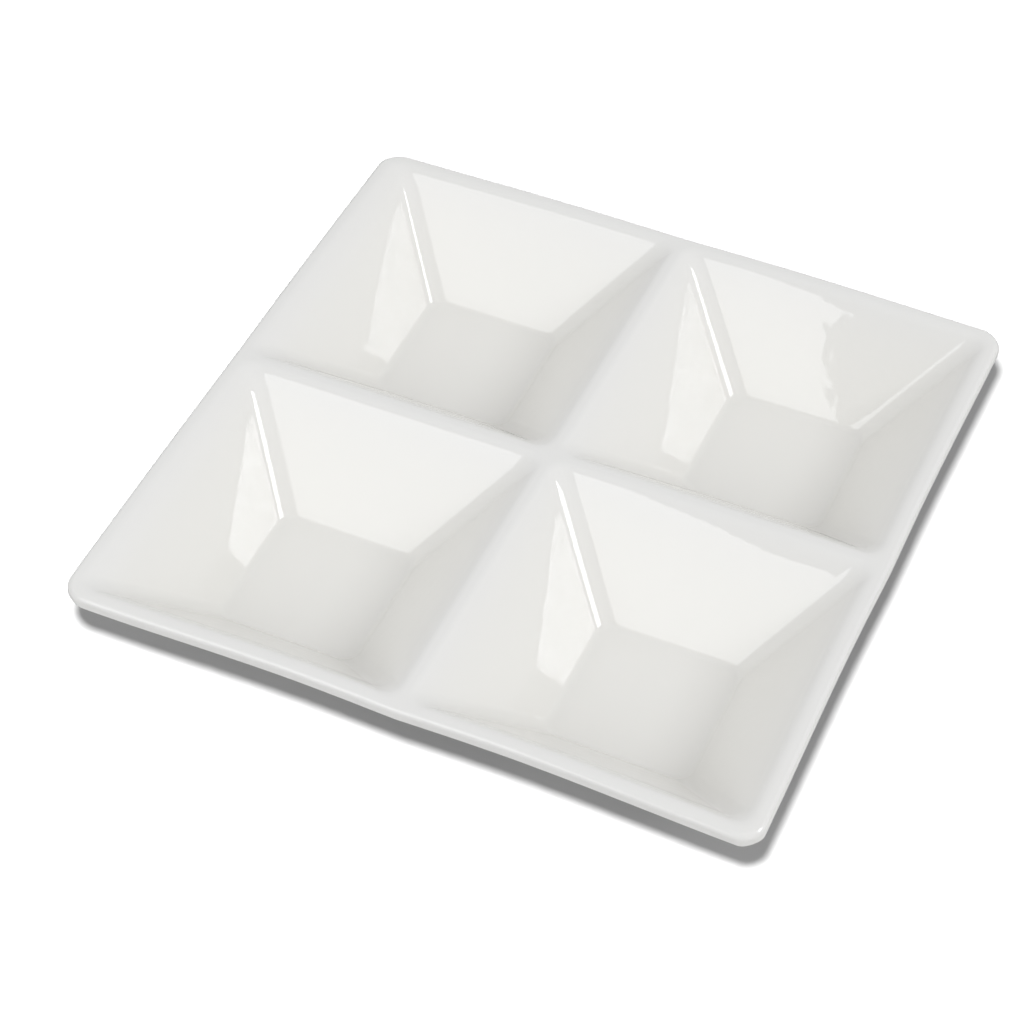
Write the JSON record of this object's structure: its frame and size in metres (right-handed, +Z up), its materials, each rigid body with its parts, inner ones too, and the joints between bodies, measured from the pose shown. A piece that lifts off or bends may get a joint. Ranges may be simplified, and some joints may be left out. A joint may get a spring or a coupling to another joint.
{
  "type": "divided serving bowl",
  "caption": "Square white glazed porcelain serving dish, split by crossed rounded dividers into sloping square wells, standing on bare foot rings.",
  "frame": {"origin": "middle of the dish, at the level of the foot rings it stands on", "axes": "+Z up out of the wells, +X to the right and +Y to the back, both along the sides of the square"},
  "size_m": [0.2, 0.2, 0.0336],
  "materials": {
    "porcelain": "matte",
    "glaze": "glossy"
  },
  "bodies": {
    "root": {"porcelain_body": "porcelain", "glaze_coat": "glaze", "base_glaze_front_left": "glaze", "base_glaze_front_right": "glaze", "base_glaze_back_left": "glaze", "base_glaze_back_right": "glaze"}
  },
  "joints": []
}
